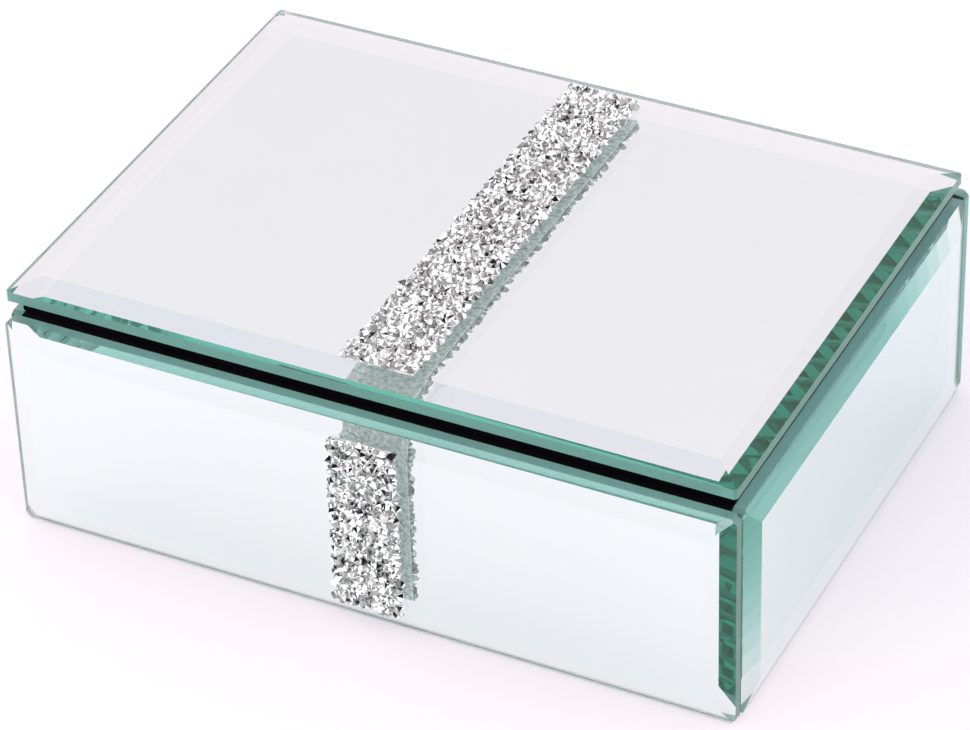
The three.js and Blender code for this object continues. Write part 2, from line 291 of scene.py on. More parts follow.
standing = Matrix.Rotation(math.radians(90), 4, "X")
for side_name, quarter_turns, length, back_face in (
    ("front", 0, front_high[0] - front_low[0], -front_back_face),
    ("right", 1, right_high[1] - right_low[1], right_back_face),
    ("back", 2, front_high[0] - front_low[0], -front_back_face),
    ("left", 3, right_high[1] - right_low[1], right_back_face),
):
    turned = Matrix.Rotation(math.radians(90) * quarter_turns, 4, "Z")
    stood = Matrix.Translation((0, -back_face, plate_middle)) @ standing
    mirror_plate(
        side_name + "_mirror_plate", length, plate_height, GLASS_THICKNESS, DUBBED_CORNER,
        turned @ stood, "box", side_name + "_mirror",
    )
    backing_paint(side_name + "_backing_paint", length, plate_height, turned @ stood, "box")

lid_width = lid_high[0] - lid_low[0]
lid_depth = lid_high[1] - lid_low[1]
lid_middle_x = (lid_low[0] + lid_high[0]) / 2
lid_middle_y = (lid_low[1] + lid_high[1]) / 2
under_lid = Matrix.Translation((lid_middle_x, lid_middle_y, lid_low[2]))
mirror_plate(
    "lid_mirror_plate", lid_width, lid_depth, GLASS_THICKNESS, LID_DUBBED_CORNER,
    under_lid, "lid", "lid_mirror",
)
backing_paint("lid_backing_paint", lid_width, lid_depth, under_lid, "lid")


# Carcass. The walls, base and lid board are cut from black-dyed fibreboard, with the arrises
# eased by sanding. The walls and base are sealed with matt paint, through which the fibres show
# faintly, and glued to each other.
BOARD_EASE = 0.4 * MM
FLAT_JOIN = math.radians(1)      # faces that meet at less than this are one face
SHARP_ARRIS = math.radians(35)
CREASE = math.radians(28)

painted_board, tree, shader = new_material("painted_fibreboard")
set_inputs(shader, Roughness=0.85, Specular_IOR_Level=0.15)
place = add_node(tree, "ShaderNodeTexCoord").outputs["Object"]
fibres = add_node(tree, "ShaderNodeTexNoise", {"Vector": place}, Scale=1100.0, Detail=4.0)
shade = add_node(tree, "ShaderNodeMix", {"Factor": fibres.outputs["Fac"]}, data_type="RGBA")
shade.inputs["A"].default_value = linear("#050506")
shade.inputs["B"].default_value = linear("#101011")
tree.links.new(shade.outputs["Result"], shader.inputs["Base Color"])
relief = add_node(
    tree, "ShaderNodeBump", {"Height": fibres.outputs["Fac"]}, Strength=0.5, Distance=0.0001,
)
tree.links.new(relief.outputs["Normal"], shader.inputs["Normal"])


def eased_piece(name, node, ease, material, body, segments=2):
    """A board or metal part as the frame has it, with its sharp arrises rounded off."""
    solid = bmesh.new()
    solid.from_mesh(bpy.data.objects[node].data)
    bmesh.ops.remove_doubles(solid, verts=solid.verts, dist=1e-6)
    bmesh.ops.dissolve_limit(
        solid, angle_limit=FLAT_JOIN, verts=solid.verts, edges=solid.edges,
    )
    sharp = [edge for edge in solid.edges if edge.calc_face_angle(0) > SHARP_ARRIS]
    bmesh.ops.bevel(
        solid, geom=sharp, offset=ease, segments=segments, profile=0.5, affect="EDGES",
        clamp_overlap=True,
    )
    bmesh.ops.triangulate(solid, faces=[face for face in solid.faces if len(face.verts) > 4])
    for face in solid.faces:
        face.smooth = True
    piece = finish_mesh(name, solid)
    piece.data.set_sharp_from_angle(angle=CREASE)
    piece.data.materials.append(material)
    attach(piece, body)
    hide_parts(node)
    return piece


for side_name in ("front", "right", "back", "left"):
    eased_piece(
        side_name + "_wall_board", side_name + "_core_wall", BOARD_EASE,
        painted_board, "box",
    )
base_board = eased_piece(
    "base_panel", "base_board", BOARD_EASE, painted_board, "box",
)


# Velvet. Black cotton velvet is glued round the lid board, the linings and the two pads. Its pile
# swallows light face on and shows a faint bloom where it is seen edge on.
PAD_GRID = 4 * MM
PAD_CREASE = math.radians(50)
THINNEST = 0.08                  # of a pad's thickness, left at its edge
UNEVENNESS_SCALE = 55            # hollows per metre

velvet, tree, shader = new_material("black_cotton_velvet")
set_inputs(shader, Roughness=1.0, Specular_IOR_Level=0.02)
set_inputs(shader, Sheen_Weight=0.12, Sheen_Roughness=0.35, Sheen_Tint=linear("#8A8A92"))
place = add_node(tree, "ShaderNodeTexCoord").outputs["Object"]
pile = add_node(tree, "ShaderNodeTexNoise", {"Vector": place}, Scale=2500.0, Detail=2.0)
nap = add_node(tree, "ShaderNodeTexNoise", {"Vector": place}, Scale=60.0, Detail=3.0)
both = add_node(
    tree, "ShaderNodeMath", {0: pile.outputs["Fac"], 1: nap.outputs["Fac"]}, operation="MULTIPLY",
)
shade = add_node(tree, "ShaderNodeMix", {"Factor": both.outputs["Value"]}, data_type="RGBA")
shade.inputs["A"].default_value = linear("#060608")
shade.inputs["B"].default_value = linear("#1B1B20")
tree.links.new(shade.outputs["Result"], shader.inputs["Base Color"])
relief = add_node(
    tree, "ShaderNodeBump", {"Height": pile.outputs["Fac"]}, Strength=0.7, Distance=0.00025,
)
tree.links.new(relief.outputs["Normal"], shader.inputs["Normal"])


def edge_steps(length, rounding, spacing):
    """Positions along one side of a pad: close together over the rounded edges, even between."""
    curve = [rounding * share for share in (0, 0.08, 0.3, 0.62, 1)]
    count = max(2, round((length - 2 * rounding) / spacing))
    even = [rounding + (length - 2 * rounding) * i / count for i in range(1, count)]
    return curve + even + [length - d for d in reversed(curve)]


def soft_pad(name, low, high, facing, crown, rounding, ripple, material, body, slot, *nodes):
    """A pad filling a box: flat behind, with rounded edges and a crowned, uneven face."""
    low, high = Vector(low), Vector(high)
    size = high - low
    along, across = [axis for axis in range(3) if abs(facing[axis]) < 0.5]
    normal = 3 - along - across
    thickness = size[normal]
    rounding = min(rounding, thickness * 0.9)
    columns = edge_steps(size[along], rounding, PAD_GRID)
    rows = edge_steps(size[across], rounding, PAD_GRID)

    def place_point(u, v, height):
        point = Vector((0, 0, 0))
        point[along] = low[along] + u
        point[across] = low[across] + v
        point[normal] = low[normal] + height if facing[normal] > 0 else high[normal] - height
        return point

    def settle(u, v):
        """Draws a corner in to a radius, and gives the height of the cover there."""
        near_u, near_v = min(u, size[along] - u), min(v, size[across] - v)
        into_u, into_v = max(0, rounding - near_u), max(0, rounding - near_v)
        reach = math.hypot(into_u, into_v)
        drawn = min(1, rounding / reach) if reach > 0 else 1
        shift_u = into_u * (1 - drawn) * (1 if u < size[along] / 2 else -1)
        shift_v = into_v * (1 - drawn) * (1 if v < size[across] / 2 else -1)
        fall = rounding - math.sqrt(max(0, rounding ** 2 - min(reach, rounding) ** 2))
        across_share = 2 * v / size[across] - 1
        along_share = 2 * u / size[along] - 1
        swell = (1 - along_share ** 4) * (1 - across_share ** 4)
        waver = noise.noise(Vector((u, v, len(name) * MM)) * UNEVENNESS_SCALE) * ripple * swell
        height = thickness - crown - ripple + crown * swell + waver - fall
        return u + shift_u, v + shift_v, max(height, thickness * THINNEST)

    solid = bmesh.new()
    cover, back = [], []
    for v in rows:
        cover.append([])
        back.append([])
        for u in columns:
            moved_u, moved_v, height = settle(u, v)
            cover[-1].append(solid.verts.new(place_point(moved_u, moved_v, height)))
            back[-1].append(solid.verts.new(place_point(moved_u, moved_v, 0)))
    last_row, last_column = len(rows) - 1, len(columns) - 1
    for j in range(last_row):
        for i in range(last_column):
            for sheet in (cover, back):
                solid.faces.new(
                    (sheet[j][i], sheet[j][i + 1], sheet[j + 1][i + 1], sheet[j + 1][i]),
                )
    rim = [(0, i) for i in range(last_column)] + [(j, last_column) for j in range(last_row)]
    rim += [(last_row, i) for i in range(last_column, 0, -1)]
    rim += [(j, 0) for j in range(last_row, 0, -1)]
    for (j, i), (next_j, next_i) in zip(rim, rim[1:] + rim[:1]):
        solid.faces.new((
            cover[j][i], cover[next_j][next_i], back[next_j][next_i], back[j][i],
        ))
    for face in solid.faces:
        face.smooth = True
    pad = finish_mesh(name, solid)
    pad.data.set_sharp_from_angle(angle=PAD_CREASE)
    pad.data.materials.append(material)
    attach(pad, body)
    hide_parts(*nodes)
    return pad


eased_piece("lid_velvet_board", "lid_board", 0.5 * MM, velvet, "lid", segments=3)
for side_name, inward in (
    ("front", Vector((0, 1, 0))), ("right", Vector((-1, 0, 0))),
    ("back", Vector((0, -1, 0))), ("left", Vector((1, 0, 0))),
):
    soft_pad(
        side_name + "_velvet_lining", *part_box(side_name + "_lining"), inward, 0.1 * MM,
        0.6 * MM, 0.05 * MM, velvet, "box", "velvet", side_name + "_lining",
    )
cushion = soft_pad(
    "floor_cushion", *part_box("floor_pad"), Vector((0, 0, 1)), 0.6 * MM, 2.2 * MM, 0.25 * MM,
    velvet, "box", "velvet", "floor_pad",
)
cushion = soft_pad(
    "lid_cushion", *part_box("lid_pad"), Vector((0, 0, -1)), 0.4 * MM, 1.3 * MM, 0.15 * MM,
    velvet, "lid", "velvet", "lid_pad",
)


# Base felt. A 1 mm sheet of pressed black wool felt, cut to the carcass and glued under it, so that
# the box slides without scratching. Its matted fibres look dull and slightly cloudy.
felt, tree, shader = new_material("pressed_wool_felt")
set_inputs(shader, Roughness=1.0, Specular_IOR_Level=0.1)
set_inputs(shader, Sheen_Weight=0.2, Sheen_Roughness=0.5)
place = add_node(tree, "ShaderNodeTexCoord").outputs["Object"]
matted = add_node(
    tree, "ShaderNodeTexNoise", {"Vector": place}, Scale=700.0, Detail=6.0, Distortion=1.5,
)
shade = add_node(tree, "ShaderNodeMix", {"Factor": matted.outputs["Fac"]}, data_type="RGBA")
shade.inputs["A"].default_value = linear("#0B0B0D")
shade.inputs["B"].default_value = linear("#2A2A2D")
tree.links.new(shade.outputs["Result"], shader.inputs["Base Color"])
relief = add_node(
    tree, "ShaderNodeBump", {"Height": matted.outputs["Fac"]}, Strength=0.8, Distance=0.0003,
)
tree.links.new(relief.outputs["Normal"], shader.inputs["Normal"])

felt_low, felt_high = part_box("base_felt")
under_felt = soft_pad(
    "base_felt_sheet", felt_low, felt_high, Vector((0, 0, -1)), 0.05 * MM, 0.35 * MM, 0.05 * MM,
    felt, "box", "felt", "base_felt",
)


# Hinges. Two small butt hinges of pressed steel, nickel plated, with three knuckles each on a
# headed pin. They are let in between the back wall and the lid board. The plating keeps the fine
# lines of the drawn strip, so its gloss is broken up along the leaves.
LEAF_EASE = 0.1 * MM
PIN_EASE = 0.18 * MM

nickel, tree, shader = new_material("nickel_plated_steel")
set_inputs(shader, Metallic=1.0)
place = add_node(tree, "ShaderNodeTexCoord").outputs["Object"]
drawn_out = add_node(tree, "ShaderNodeMapping", {"Vector": place}, Scale=(150.0, 6000.0, 6000.0))
scratches = add_node(
    tree, "ShaderNodeTexNoise", {"Vector": drawn_out.outputs["Vector"]}, Scale=1.0, Detail=3.0,
)
dullness = add_node(
    tree, "ShaderNodeMapRange", {"Value": scratches.outputs["Fac"]}, To_Min=0.16, To_Max=0.42,
)
tree.links.new(dullness.outputs["Result"], shader.inputs["Roughness"])
shade = add_node(tree, "ShaderNodeMix", {"Factor": scratches.outputs["Fac"]}, data_type="RGBA")
shade.inputs["A"].default_value = linear("#A9A6A0")
shade.inputs["B"].default_value = linear("#C9C6C0")
tree.links.new(shade.outputs["Result"], shader.inputs["Base Color"])
relief = add_node(
    tree, "ShaderNodeBump", {"Height": scratches.outputs["Fac"]}, Strength=0.25, Distance=0.00002,
)
tree.links.new(relief.outputs["Normal"], shader.inputs["Normal"])

for hinge_side in ("left", "right"):
    for body in ("box", "lid"):
        node = f"{hinge_side}_hinge_{body}_leaf"
        eased_piece(f"{hinge_side}_{body}_leaf", node, LEAF_EASE, nickel, body)
    eased_piece(
        f"{hinge_side}_headed_pin", f"{hinge_side}_hinge_pin", PIN_EASE, nickel, "box",
        segments=3,
    )


# Screws. Eight countersunk steel screws with a cross recess and a coarse thread. Four hold the
# box leaves down into the back wall, and four shorter ones hold the lid leaves up to the board.
SCREW_HEAD_HEIGHT = 0.7 * MM
SCREW_SHANK_RADIUS = 0.8 * MM
SCREW_THREAD_PITCH = 0.9 * MM
SCREW_THREAD_DEPTH = 0.22        # of the shank's radius
SCREW_RECESS = Vector((0.38, 1.9, 0.8)) * MM
SCREW_SEED = 3


def new_tree(name, inputs):
    """An empty geometry tree with named inputs, and its input and output nodes."""
    tree = bpy.data.node_groups.new(name, "GeometryNodeTree")
    tree.interface.new_socket("Geometry", in_out="OUTPUT", socket_type="NodeSocketGeometry")
    for input_name, kind in inputs.items():
        tree.interface.new_socket(input_name, in_out="INPUT", socket_type="NodeSocket" + kind)
    return tree, add_node(tree, "NodeGroupInput"), add_node(tree, "NodeGroupOutput")


def grow(name, tree, base, **sizes):
    """Runs a tree on a mesh with these sizes, and returns the plain mesh that it makes."""
    carrier = bpy.data.objects.new(name, base)
    scene.collection.objects.link(carrier)
    modifier = carrier.modifiers.new(name, "NODES")
    modifier.node_group = tree
    identifiers = {
        item.name: item.identifier for item in tree.interface.items_tree if item.in_out == "INPUT"
    }
    for size_name, value in sizes.items():
        modifier[identifiers[size_name.replace("_", " ")]] = value
    bpy.context.view_layer.update()
    grown = carrier.evaluated_get(bpy.context.evaluated_depsgraph_get())
    mesh = bpy.data.meshes.new_from_object(grown)
    mesh.name = name
    bpy.data.objects.remove(carrier)
    return mesh


tree, given, made = new_tree("cross_recessed_screw", {
    "Places": "Geometry", "Head Radius": "Float", "Head Height": "Float",
    "Shank Radius": "Float", "Length": "Float", "Thread Pitch": "Float",
    "Thread Depth": "Float", "Recess": "Vector", "Facing": "Rotation", "Seed": "Int",
})
size = given.outputs
cone = add_node(
    tree, "GeometryNodeMeshCone",
    {"Radius Top": size["Head Radius"], "Radius Bottom": size["Shank Radius"],
     "Depth": size["Head Height"]}, Vertices=24,
)
sunk = add_node(tree, "ShaderNodeMath", {0: size["Head Height"]}, operation="MULTIPLY")
sunk.inputs[1].default_value = -1.0
sunk_place = add_node(tree, "ShaderNodeCombineXYZ", {"Z": sunk.outputs["Value"]})
head = add_node(
    tree, "GeometryNodeTransform",
    {"Geometry": cone.outputs["Mesh"], "Translation": sunk_place.outputs["Vector"]},
)
shank_length = add_node(
    tree, "ShaderNodeMath", {0: size["Length"], 1: size["Head Height"]}, operation="SUBTRACT",
)
shank = add_node(
    tree, "GeometryNodeMeshCylinder",
    {"Radius": size["Shank Radius"], "Depth": shank_length.outputs["Value"]}, Vertices=16,
)
shank.inputs["Side Segments"].default_value = 36
middle = add_node(
    tree, "ShaderNodeMath", {0: size["Length"], 1: size["Head Height"]}, operation="ADD",
)
middle_place = add_node(
    tree, "ShaderNodeMath", {0: middle.outputs["Value"]}, operation="MULTIPLY",
)
middle_place.inputs[1].default_value = -0.5
shank_place = add_node(tree, "ShaderNodeCombineXYZ", {"Z": middle_place.outputs["Value"]})
lowered = add_node(
    tree, "GeometryNodeTransform",
    {"Geometry": shank.outputs["Mesh"], "Translation": shank_place.outputs["Vector"]},
)
spot = add_node(tree, "GeometryNodeInputPosition")
axes = add_node(tree, "ShaderNodeSeparateXYZ", {"Vector": spot.outputs["Position"]})
bearing = add_node(
    tree, "ShaderNodeMath", {0: axes.outputs["Y"], 1: axes.outputs["X"]}, operation="ARCTAN2",
)
bearing_share = add_node(
    tree, "ShaderNodeMath", {0: bearing.outputs["Value"]}, operation="DIVIDE",
)
bearing_share.inputs[1].default_value = math.tau
turns_down = add_node(
    tree, "ShaderNodeMath", {0: axes.outputs["Z"], 1: size["Thread Pitch"]}, operation="DIVIDE",
)
helix = add_node(
    tree, "ShaderNodeMath",
    {0: turns_down.outputs["Value"], 1: bearing_share.outputs["Value"]}, operation="ADD",
)
flank = add_node(tree, "ShaderNodeMath", {0: helix.outputs["Value"]}, operation="PINGPONG")
flank.inputs[1].default_value = 0.5
bite = add_node(
    tree, "ShaderNodeMath",
    {0: flank.outputs["Value"], 1: size["Thread Depth"]}, operation="MULTIPLY",
)
radial = add_node(tree, "ShaderNodeCombineXYZ", {"X": axes.outputs["X"], "Y": axes.outputs["Y"]})
cut_in = add_node(
    tree, "ShaderNodeVectorMath",
    {0: radial.outputs["Vector"], "Scale": bite.outputs["Value"]}, operation="SCALE",
)
inward = add_node(
    tree, "ShaderNodeVectorMath", {0: cut_in.outputs["Vector"]}, operation="SCALE", Scale=-2.0,
)
threaded = add_node(
    tree, "GeometryNodeSetPosition",
    {"Geometry": lowered.outputs["Geometry"], "Offset": inward.outputs["Vector"]},
)
blade = add_node(tree, "GeometryNodeMeshCube", {"Size": size["Recess"]})
crossed = add_node(tree, "GeometryNodeTransform", {"Geometry": blade.outputs["Mesh"]})
crossed.inputs["Rotation"].default_value = (0, 0, math.radians(90))
joined = add_node(tree, "GeometryNodeMeshBoolean", operation="UNION", solver="EXACT")
for part in (head, threaded):
    tree.links.new(part.outputs["Geometry"], joined.inputs["Mesh 2"])
driven = add_node(
    tree, "GeometryNodeMeshBoolean", {"Mesh 1": joined.outputs["Mesh"]},
    operation="DIFFERENCE", solver="EXACT",
)
for part in (blade.outputs["Mesh"], crossed.outputs["Geometry"]):
    tree.links.new(part, driven.inputs["Mesh 2"])
turn = add_node(
    tree, "FunctionNodeRandomValue", {"Seed": size["Seed"]}, data_type="FLOAT_VECTOR",
)
turn.inputs["Min"].default_value = (0, 0, 0)
turn.inputs["Max"].default_value = (0, 0, math.pi)
own_turn = add_node(tree, "FunctionNodeEulerToRotation", {"Euler": turn.outputs["Value"]})
facing = add_node(
    tree, "FunctionNodeRotateRotation",
    {"Rotation": own_turn.outputs["Rotation"], "Rotate By": size["Facing"]},
)
placed = add_node(
    tree, "GeometryNodeInstanceOnPoints",
    {"Points": size["Places"], "Instance": driven.outputs["Mesh"],
     "Rotation": facing.outputs["Rotation"]},
)
real = add_node(tree, "GeometryNodeRealizeInstances", {"Geometry": placed.outputs["Instances"]})
finished = add_node(
    tree, "GeometryNodeSetMaterial", {"Geometry": real.outputs["Geometry"]}, Material=nickel,
)
tree.links.new(finished.outputs["Geometry"], made.inputs["Geometry"])
screw_tree = tree

for body, faces_down in (("box", False), ("lid", True)):
    nodes = [f"{side}_{end}_{body}_screw" for side in ("left", "right")
             for end in ("outer", "inner")]
    places = bpy.data.meshes.new(body + "_screw_places")
    heads = []
    for node in nodes:
        low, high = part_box(node)
        level = low[2] if faces_down else high[2]
        heads.append(((low[0] + high[0]) / 2, (low[1] + high[1]) / 2, level))
    places.from_pydata(heads, [], [])
    low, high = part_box(nodes[0])
    mesh = grow(
        body + "_screws", screw_tree, places, Head_Radius=(high[0] - low[0]) / 2,
        Head_Height=SCREW_HEAD_HEIGHT, Shank_Radius=SCREW_SHANK_RADIUS,
        Length=high[2] - low[2], Thread_Pitch=SCREW_THREAD_PITCH,
        Thread_Depth=SCREW_THREAD_DEPTH, Recess=SCREW_RECESS,
        Facing=(math.pi if faces_down else 0.0, 0.0, 0.0), Seed=SCREW_SEED,
    )
    screws = bpy.data.objects.new(body + "_screws", mesh)
    scene.collection.objects.link(screws)
    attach(screws, body)
    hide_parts(*nodes)


# Crystal strips. Pointed glass stones, about 2.8 mm across and silver foiled, are packed at random
# angles with smaller ones between them. They are set in a bed of clear resin, on clear tape that
# holds the strip to the mirror.
STRIP_BED = 0.85 * MM
BED_INSET = 0.6 * MM
STONE_RADIUS = 1.4 * MM
STONE_HEIGHT = 1.2 * MM
FILLER_RADIUS = 0.9 * MM
FILLER_HEIGHT = 0.96 * MM
GIRDLE_HEIGHT = 0.2 * MM
PAVILION_DEPTH = 0.6 * MM        # of the pointed back under the girdle
STONE_FACETS = 7
STONE_JITTER = 0.45 * MM
STONE_PITCH = Vector((2.25, 2.0)) * MM
STRIP_EDGE = 1.05 * MM
TAPE_EASE = 0.08 * MM

# Clear film under the backs of the stones, which are all that it shows: a mottle of pale and grey,
# painted into its colour as the shade and glints of the stones' backs. It also has a painted glow,
# which stands in for the light that the stones gather and let through.
tape, tree, shader = new_material("clear_double_sided_film")
# The emission is the painted glow: the film gives out light of its own.
set_inputs(shader, Roughness=0.4, Emission_Strength=0.42)
place = add_node(tree, "ShaderNodeTexCoord").outputs["Object"]
backs = add_node(
    tree, "ShaderNodeTexNoise", {"Vector": place}, Scale=850.0, Detail=5.0, Roughness=0.7,
)
shade = add_node(tree, "ShaderNodeValToRGB", {"Fac": backs.outputs["Fac"]})
shade.color_ramp.elements[0].position = 0.32
shade.color_ramp.elements[0].color = linear("#8C9690")
shade.color_ramp.elements[1].position = 0.68
shade.color_ramp.elements[1].color = linear("#FFFFFF")
# The painted mottle of shade and glints is both its colour and its glow.
for entry in ("Base Color", "Emission Color"):
    tree.links.new(shade.outputs["Color"], shader.inputs[entry])

# Clear resin. Its mottled grey is painted shadow and glints of the stones' backs, and it has a
# faint painted glow of its own.
resin, tree, shader = new_material("clear_resin_bed")
# The emission is the painted glow.
set_inputs(shader, Roughness=0.25, IOR=1.5, Emission_Strength=0.2)
place = add_node(tree, "ShaderNodeTexCoord").outputs["Object"]
glints = add_node(tree, "ShaderNodeTexVoronoi", {"Vector": place}, Scale=1100.0)
shade = add_node(tree, "ShaderNodeValToRGB", {"Fac": glints.outputs["Color"]})
shade.color_ramp.elements[0].color = linear("#6A6C6D")
shade.color_ramp.elements[1].color = linear("#DADBDB")
# The painted shadows and glints are both its colour and its glow.
for entry in ("Base Color", "Emission Color"):
    tree.links.new(shade.outputs["Color"], shader.inputs[entry])

# Foiled crystal: the run of neighbouring facets from black to dazzling, which real facets get by
# each mirroring its own part of the room, is painted. The attribute gives every facet its own
# painted share of light, as its colour and as a glow.
crystal, tree, shader = new_material("foiled_cut_crystal")
# The emission makes each facet's painted light glow.
set_inputs(shader, Metallic=0.9, Roughness=0.12, Emission_Strength=0.16)
flash = add_node(tree, "ShaderNodeAttribute", attribute_name="flash").outputs["Fac"]
shade = add_node(tree, "ShaderNodeValToRGB", {"Fac": flash})
ramp = shade.color_ramp
ramp.elements[0].color = linear("#09080A")
ramp.elements[1].position = 0.1
ramp.elements[1].color = linear("#1F1E20")
for share, colour in (
    (0.17, "#7C837F"), (0.42, "#A3AAA6"), (0.54, "#CBD1CD"), (0.60, "#F8FFFC"), (1.0, "#F8FFFC"),
):
    ramp.elements.new(share).color = linear(colour)
for entry in ("Base Color", "Emission Color"):
    tree.links.new(shade.outputs["Color"], shader.inputs[entry])


def stone_layer(tree, size, kind, tilt, spread, lift, seed):
    """One staggered, jittered layer of one kind of stone over the strip, as a tree output."""
    rows = add_node(
        tree, "GeometryNodeMeshGrid",
        {"Size X": size["Width"], "Size Y": size["Length"],
         "Vertices X": size["Columns"], "Vertices Y": size["Rows"]},
    )
    index = add_node(tree, "GeometryNodeInputIndex")
    odd = add_node(
        tree, "ShaderNodeMath", {0: index.outputs["Index"], 1: size["Rows"]}, operation="MODULO",
    )
    parity = add_node(tree, "ShaderNodeMath", {0: odd.outputs["Value"]}, operation="MODULO")
    parity.inputs[1].default_value = 2.0
    stagger = add_node(tree, "ShaderNodeMapRange", {"Value": parity.outputs["Value"]})
    stagger.inputs["To Min"].default_value = -spread
    stagger.inputs["To Max"].default_value = spread
    wander = add_node(
        tree, "FunctionNodeRandomValue", {"Seed": size["Seed"]}, data_type="FLOAT_VECTOR",
    )
    wander.inputs["Min"].default_value = (-STONE_JITTER, -STONE_JITTER, lift[0])
    wander.inputs["Max"].default_value = (STONE_JITTER, STONE_JITTER, lift[1])
    aside = add_node(tree, "ShaderNodeCombineXYZ", {"X": stagger.outputs["Result"]})
    moved = add_node(
        tree, "ShaderNodeVectorMath",
        {0: aside.outputs["Vector"], 1: wander.outputs["Value"]}, operation="ADD",
    )
    spots = add_node(
        tree, "GeometryNodeSetPosition",
        {"Geometry": rows.outputs["Mesh"], "Offset": moved.outputs["Vector"]},
    )
    radius, height = size[kind + " Radius"], size[kind + " Height"]
    point = add_node(
        tree, "GeometryNodeMeshCone", {"Radius Bottom": radius, "Depth": height},
        Vertices=STONE_FACETS, fill_type="NONE",
    )
    girdle = add_node(
        tree, "GeometryNodeMeshCylinder", {"Radius": radius, "Depth": size["Girdle Height"]},
        Vertices=STONE_FACETS, fill_type="NONE",
    )
    back = add_node(
        tree, "GeometryNodeMeshCone", {"Radius Top": radius, "Depth": size["Pavilion Depth"]},
        Vertices=STONE_FACETS, Radius_Bottom=0.0, fill_type="NONE",
    )
    under_point = add_node(
        tree, "GeometryNodeTransform", {"Geometry": girdle.outputs["Mesh"]},
        Translation=(0, 0, -GIRDLE_HEIGHT / 2),
    )
    lowest = add_node(
        tree, "GeometryNodeTransform", {"Geometry": back.outputs["Mesh"]},
        Translation=(0, 0, -GIRDLE_HEIGHT - PAVILION_DEPTH),
    )
    cut = add_node(tree, "GeometryNodeJoinGeometry")
    for part in (point.outputs["Mesh"], under_point.outputs["Geometry"],
                 lowest.outputs["Geometry"]):
        tree.links.new(part, cut.inputs["Geometry"])
    stone = add_node(
        tree, "GeometryNodeMergeByDistance", {"Geometry": cut.outputs["Geometry"]}, Distance=1e-6,
    )
    lean = add_node(tree, "FunctionNodeRandomValue", data_type="FLOAT_VECTOR", Seed=seed)
    lean.inputs["Min"].default_value = (-tilt, -tilt, -math.pi)
    lean.inputs["Max"].default_value = (tilt, tilt, math.pi)
    grade = add_node(tree, "FunctionNodeRandomValue", Seed=seed + 1)
    grade.inputs[2].default_value = 0.82
    grade.inputs[3].default_value = 1.14
    set_stones = add_node(
        tree, "GeometryNodeInstanceOnPoints",
        {"Points": spots.outputs["Geometry"], "Instance": stone.outputs["Geometry"],
         "Rotation": lean.outputs["Value"], "Scale": grade.outputs[1]},
    )
    return set_stones.outputs["Instances"]


tree, given, made = new_tree("crystal_strip", {
    "Width": "Float", "Length": "Float", "Columns": "Int", "Rows": "Int",
    "Stone Radius": "Float", "Stone Height": "Float",
    "Filler Radius": "Float", "Filler Height": "Float",
    "Girdle Height": "Float", "Pavilion Depth": "Float",
    "Seed": "Int", "Least Flash": "Float",
})
layers = add_node(tree, "GeometryNodeJoinGeometry")
for kind, tilt, spread, lift, seed in (
    ("Stone", math.radians(30), 0.5 * MM, (0.55 * MM, 0.8 * MM), 11),
    ("Filler", math.radians(50), -0.5 * MM, (0.6 * MM, 1.05 * MM), 23),
):
    layer = stone_layer(tree, given.outputs, kind, tilt, spread, lift, seed)
    tree.links.new(layer, layers.inputs["Geometry"])
real = add_node(tree, "GeometryNodeRealizeInstances", {"Geometry": layers.outputs["Geometry"]})
shares = add_node(
    tree, "FunctionNodeRandomValue",
    {"Seed": given.outputs["Seed"], 2: given.outputs["Least Flash"]},
)
# The foiled backs, which only the mirror shows, are given a duller range of the painted light than
# the fronts.
heading = add_node(tree, "GeometryNodeInputNormal")
outward_share = add_node(tree, "ShaderNodeSeparateXYZ", {"Vector": heading.outputs["Normal"]})
is_front = add_node(
    tree, "ShaderNodeMapRange", {"Value": outward_share.outputs["Z"]},
    From_Min=-0.25, From_Max=-0.05,
)
dulled = add_node(
    tree, "ShaderNodeMapRange", {"Value": shares.outputs[1]}, To_Min=0.15, To_Max=0.57,
)
front_or_back = add_node(
    tree, "ShaderNodeMix",
    {0: is_front.outputs["Result"], 2: dulled.outputs["Result"], 3: shares.outputs[1]},
)
# Stores each facet's painted share of light.
flagged = add_node(
    tree, "GeometryNodeStoreNamedAttribute",
    {"Geometry": real.outputs["Geometry"], "Value": front_or_back.outputs[0]},
    data_type="FLOAT", domain="FACE", Name="flash",
)
flat = add_node(
    tree, "GeometryNodeSetShadeSmooth", {"Geometry": flagged.outputs["Geometry"]},
)
flat.inputs["Shade Smooth"].default_value = False
finished = add_node(
    tree, "GeometryNodeSetMaterial", {"Geometry": flat.outputs["Geometry"]}, Material=crystal,
)
tree.links.new(finished.outputs["Geometry"], made.inputs["Geometry"])
strip_tree = tree

